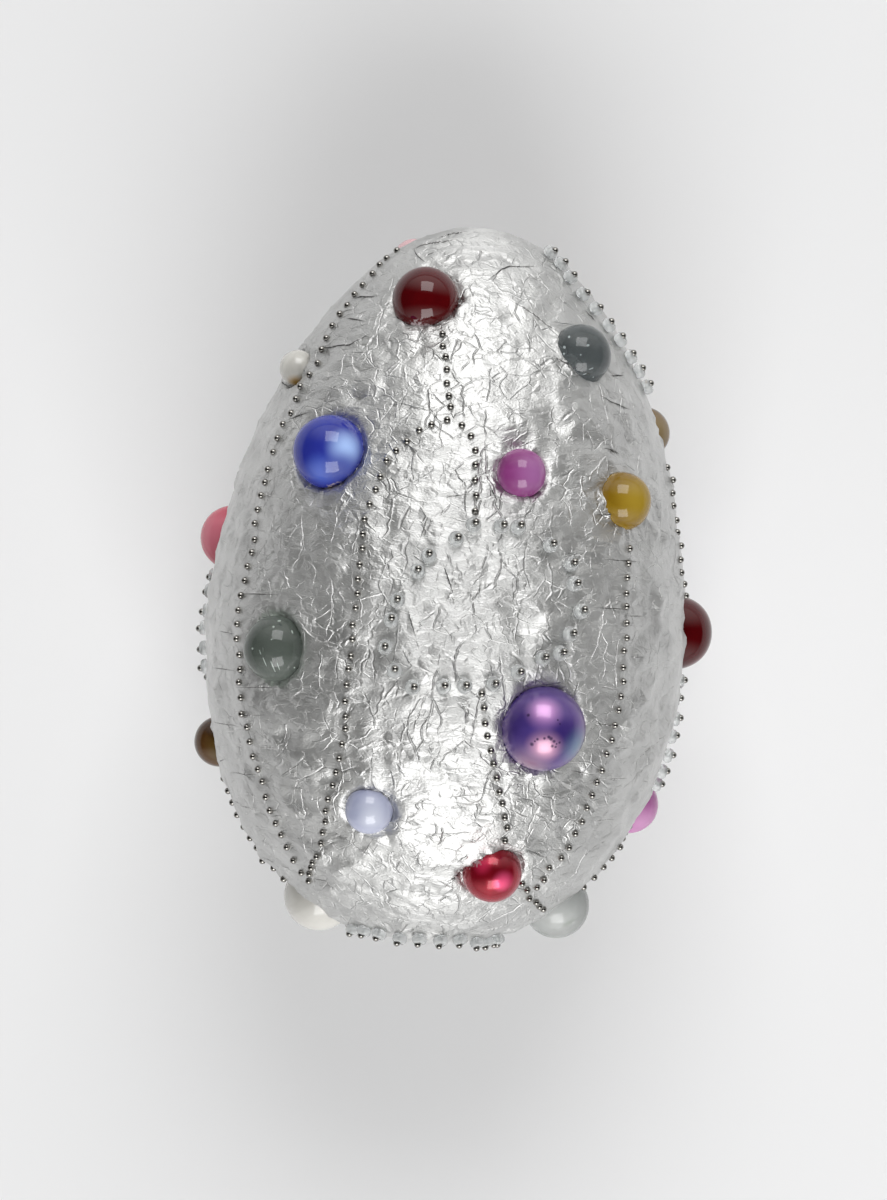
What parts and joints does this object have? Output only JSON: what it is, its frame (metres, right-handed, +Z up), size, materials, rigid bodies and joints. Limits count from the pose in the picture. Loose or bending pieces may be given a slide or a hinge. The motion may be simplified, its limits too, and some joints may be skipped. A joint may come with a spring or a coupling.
{
  "type": "egg sculpture",
  "caption": "Egg ornament wrapped in crumpled silver foil, set with glass marbles, pearls, seed beads and rows of steel pins; it lies on marbles of its underside.",
  "frame": {"origin": "middle of the footprint, on the table that the egg lies on", "axes": "+Y along the egg's long axis toward its pointed end, +Z up from the table to the side that the picture shows, +X to the picture's right"},
  "size_m": [0.1496, 0.205, 0.1425],
  "materials": {
    "silver_foil": "satin crumpled foil",
    "pin_steel": "polished steel pin heads",
    "bead_glass": "clear glass seed beads",
    "oxblood_glass": "glossy deep red glass",
    "grey_glass": "glossy dark grey glass with bubbles",
    "cloudy_glass": "cloudy grey glass",
    "clear_glass": "clear grey-green glass with bubbles",
    "blue_glass": "glossy blue glass with a pale glow",
    "magenta_glass": "glossy magenta glass",
    "olive_glass": "glossy olive yellow glass",
    "bronze_glass": "glossy bronze brown glass",
    "coral_glass": "glossy coral glass",
    "pink_glass": "glossy pink glass",
    "pale_pink_glass": "glossy pale pink glass",
    "amber_glass": "glossy amber glass",
    "teal_glass": "glossy teal glass",
    "lilac_glass": "glossy lilac glass",
    "green_glass": "glossy green glass",
    "violet_pearl": "pearly violet lacquer over glass",
    "white_pearl": "pearl lacquer",
    "sky_pearl": "pale blue pearl lacquer",
    "red_pearl": "metallic red pearl lacquer"
  },
  "bodies": {
    "root": {"foil_egg": "silver_foil", "oxblood_marble_top": "oxblood_glass", "grey_marble_top": "grey_glass", "small_pearl": "white_pearl", "blue_marble": "blue_glass", "magenta_marble": "magenta_glass", "olive_marble": "olive_glass", "bronze_marble_right": "bronze_glass", "coral_marble": "coral_glass", "clear_marble": "clear_glass", "oxblood_marble_right": "oxblood_glass", "bronze_marble_left": "bronze_glass", "violet_marble": "violet_pearl", "pink_marble": "pink_glass", "sky_pearl": "sky_pearl", "red_pearl": "red_pearl", "large_pearl": "white_pearl", "grey_marble_low": "cloudy_glass", "pale_pink_marble": "pale_pink_glass", "amber_marble": "amber_glass", "teal_marble": "teal_glass", "lilac_marble": "lilac_glass", "green_marble": "green_glass", "ivory_pearl": "white_pearl", "foot_marble_left": "blue_glass", "foot_marble_right": "grey_glass", "foot_marble_front": "oxblood_glass"}
  },
  "joints": []
}
